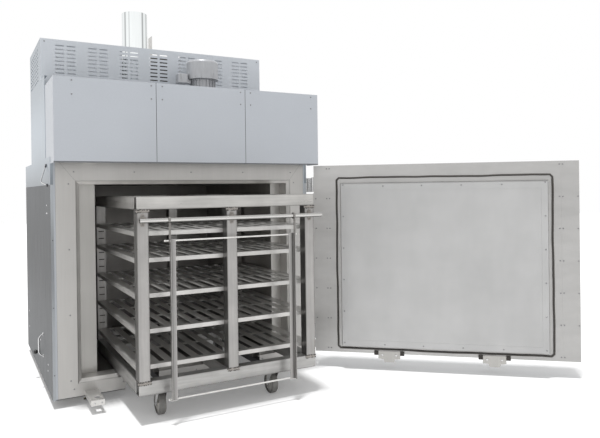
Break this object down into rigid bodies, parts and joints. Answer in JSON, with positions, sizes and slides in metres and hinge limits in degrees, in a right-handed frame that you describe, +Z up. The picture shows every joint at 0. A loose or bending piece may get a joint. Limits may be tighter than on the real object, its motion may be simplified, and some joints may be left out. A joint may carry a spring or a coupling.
{
  "type": "walk-in drying oven with trolley",
  "caption": "Front-loading industrial drying oven with an insulated swing door, a roof fan and exhaust pipe, and a shelved trolley that rolls in on floor tracks.",
  "frame": {"origin": "on the hall floor under the middle front levelling foot", "axes": "+X to the right seen from the front, +Y into the oven, +Z up"},
  "size_m": [4.0192, 3.4697, 3.212],
  "materials": {
    "grey_paint": "satin",
    "light_paint": "satin",
    "dark_paint": "satin",
    "motor_paint": "satin",
    "stainless": "brushed",
    "galvanised": "matt",
    "trolley_steel": "brushed",
    "bright_steel": "polished",
    "seal_rubber": "matt",
    "black_plastic": "matt",
    "tyre_rubber": "matt",
    "mineral_wool": "matt"
  },
  "bodies": {
    "oven_body": {"levelling_feet": "bright_steel", "base_frame": "dark_paint", "floor_blocks": "mineral_wool", "lower_side_panels": "grey_paint", "upper_side_panels": "light_paint", "rear_panel": "grey_paint", "roof_panel": "grey_paint", "front_frame": "stainless", "jamb_frame": "stainless", "chamber_liner": "galvanised", "wall_insulation": "mineral_wool", "air_baffle": "galvanised", "heater_bank": "bright_steel", "motor_stand": "dark_paint", "fan_motor": "motor_paint", "motor_cowl": "motor_paint", "terminal_box": "motor_paint", "fascia_panels": "light_paint", "fascia_returns": "light_paint", "fascia_frame": "galvanised", "enclosure_front": "light_paint", "enclosure_walls": "light_paint", "exhaust_pipe": "galvanised", "lashing_loops": "bright_steel", "hinge_brackets": "bright_steel", "hinge_pins": "bright_steel", "bow_handle": "bright_steel", "lock_keepers": "dark_paint", "body_screws": "bright_steel"},
    "trolley": {"cart_base": "trolley_steel", "cart_front_posts": "trolley_steel", "cart_rear_posts": "trolley_steel", "cart_top_frame": "trolley_steel", "shelves": "trolley_steel", "push_rail": "trolley_steel", "castor_heads": "bright_steel", "rear_castor_forks": "bright_steel"},
    "door": {"door_skin": "grey_paint", "door_edge_strips": "stainless", "door_plug": "stainless", "door_insulation": "mineral_wool", "door_gasket": "seal_rubber", "track_plates": "stainless", "track_seals": "seal_rubber", "hinge_leaves": "bright_steel", "rod_guides": "dark_paint", "door_screws": "bright_steel"},
    "drawbar": {"drawbar": "trolley_steel"},
    "castor_left": {"castor_fork_left": "bright_steel"},
    "castor_right": {"castor_fork_right": "bright_steel"},
    "wheel_front_left": {"wheel_front_left": "tyre_rubber"},
    "wheel_front_right": {"wheel_front_right": "tyre_rubber"},
    "wheel_rear_left": {"wheel_rear_left": "tyre_rubber"},
    "wheel_rear_right": {"wheel_rear_right": "tyre_rubber"},
    "fan": {"fan_rotor": "galvanised"},
    "damper": {"damper_flap": "galvanised"},
    "inlet_valve_knob": {"inlet_knob": "black_plastic"},
    "door_handle": {"lock_handle": "black_plastic"},
    "upper_rod": {"lock_rod_upper": "bright_steel"},
    "lower_rod": {"lock_rod_lower": "bright_steel"}
  },
  "joints": [
    {"name": "cart_slide", "type": "slide", "parent": "oven_body", "child": "trolley", "axis": [0, -1, 0], "range_m": [-0.85, 0.25]},
    {"name": "door_hinge", "type": "hinge", "parent": "oven_body", "child": "door", "pos_m": [1.1254, -0.1426, 0.967], "axis": [0, 0, 1], "range_deg": [-138.8, 41.2]},
    {"name": "drawbar_hinge", "type": "hinge", "parent": "trolley", "child": "drawbar", "pos_m": [0.077, -0.826, 1.39], "axis": [-1, 0, 0], "range_deg": [0, 95]},
    {"name": "castor_swivel_left", "type": "hinge", "parent": "trolley", "child": "castor_left", "pos_m": [-0.423, -0.633, 0.18], "axis": [0, 0, 1], "continuous": true},
    {"name": "castor_swivel_right", "type": "hinge", "parent": "trolley", "child": "castor_right", "pos_m": [0.459, -0.633, 0.18], "axis": [0, 0, 1], "continuous": true},
    {"name": "wheel_spin_front_left", "type": "hinge", "parent": "castor_left", "child": "wheel_front_left", "pos_m": [-0.423, -0.595, 0.08], "axis": [1, 0, 0], "continuous": true},
    {"name": "wheel_spin_front_right", "type": "hinge", "parent": "castor_right", "child": "wheel_front_right", "pos_m": [0.459, -0.595, 0.08], "axis": [1, 0, 0], "continuous": true},
    {"name": "wheel_spin_rear_left", "type": "hinge", "parent": "trolley", "child": "wheel_rear_left", "pos_m": [-0.423, 0.55, 0.08], "axis": [1, 0, 0], "continuous": true},
    {"name": "wheel_spin_rear_right", "type": "hinge", "parent": "trolley", "child": "wheel_rear_right", "pos_m": [0.459, 0.55, 0.08], "axis": [1, 0, 0], "continuous": true},
    {"name": "fan_spin", "type": "hinge", "parent": "oven_body", "child": "fan", "pos_m": [0.215, 0.19, 1.7], "axis": [0, 0, 1], "continuous": true},
    {"name": "damper_turn", "type": "hinge", "parent": "oven_body", "child": "damper", "pos_m": [-0.235, 0.74, 2.85], "axis": [1, 0, 0], "range_deg": [0, 90]},
    {"name": "knob_turn", "type": "hinge", "parent": "oven_body", "child": "inlet_valve_knob", "pos_m": [-1.075, 0.787, 0.225], "axis": [1, 0, 0], "range_deg": [-90, 0]},
    {"name": "handle_turn", "type": "hinge", "parent": "door", "child": "door_handle", "pos_m": [2.67619, -1.29107, 1.01], "axis": [0.6607, 0.7507, 0], "range_deg": [-90, 0]},
    {"name": "upper_rod_slide", "type": "slide", "parent": "door", "child": "upper_rod", "axis": [0, 0, 1], "range_m": [0, 0.06]},
    {"name": "lower_rod_slide", "type": "slide", "parent": "door", "child": "lower_rod", "axis": [0, 0, -1], "range_m": [0, 0.06]}
  ],
  "couplings": [
    {"joint": "door_hinge", "follows": "cart_slide", "rad_per_m": 2.847},
    {"joint": "upper_rod_slide", "follows": "handle_turn", "m_per_rad": -0.038159},
    {"joint": "lower_rod_slide", "follows": "handle_turn", "m_per_rad": -0.038159}
  ]
}
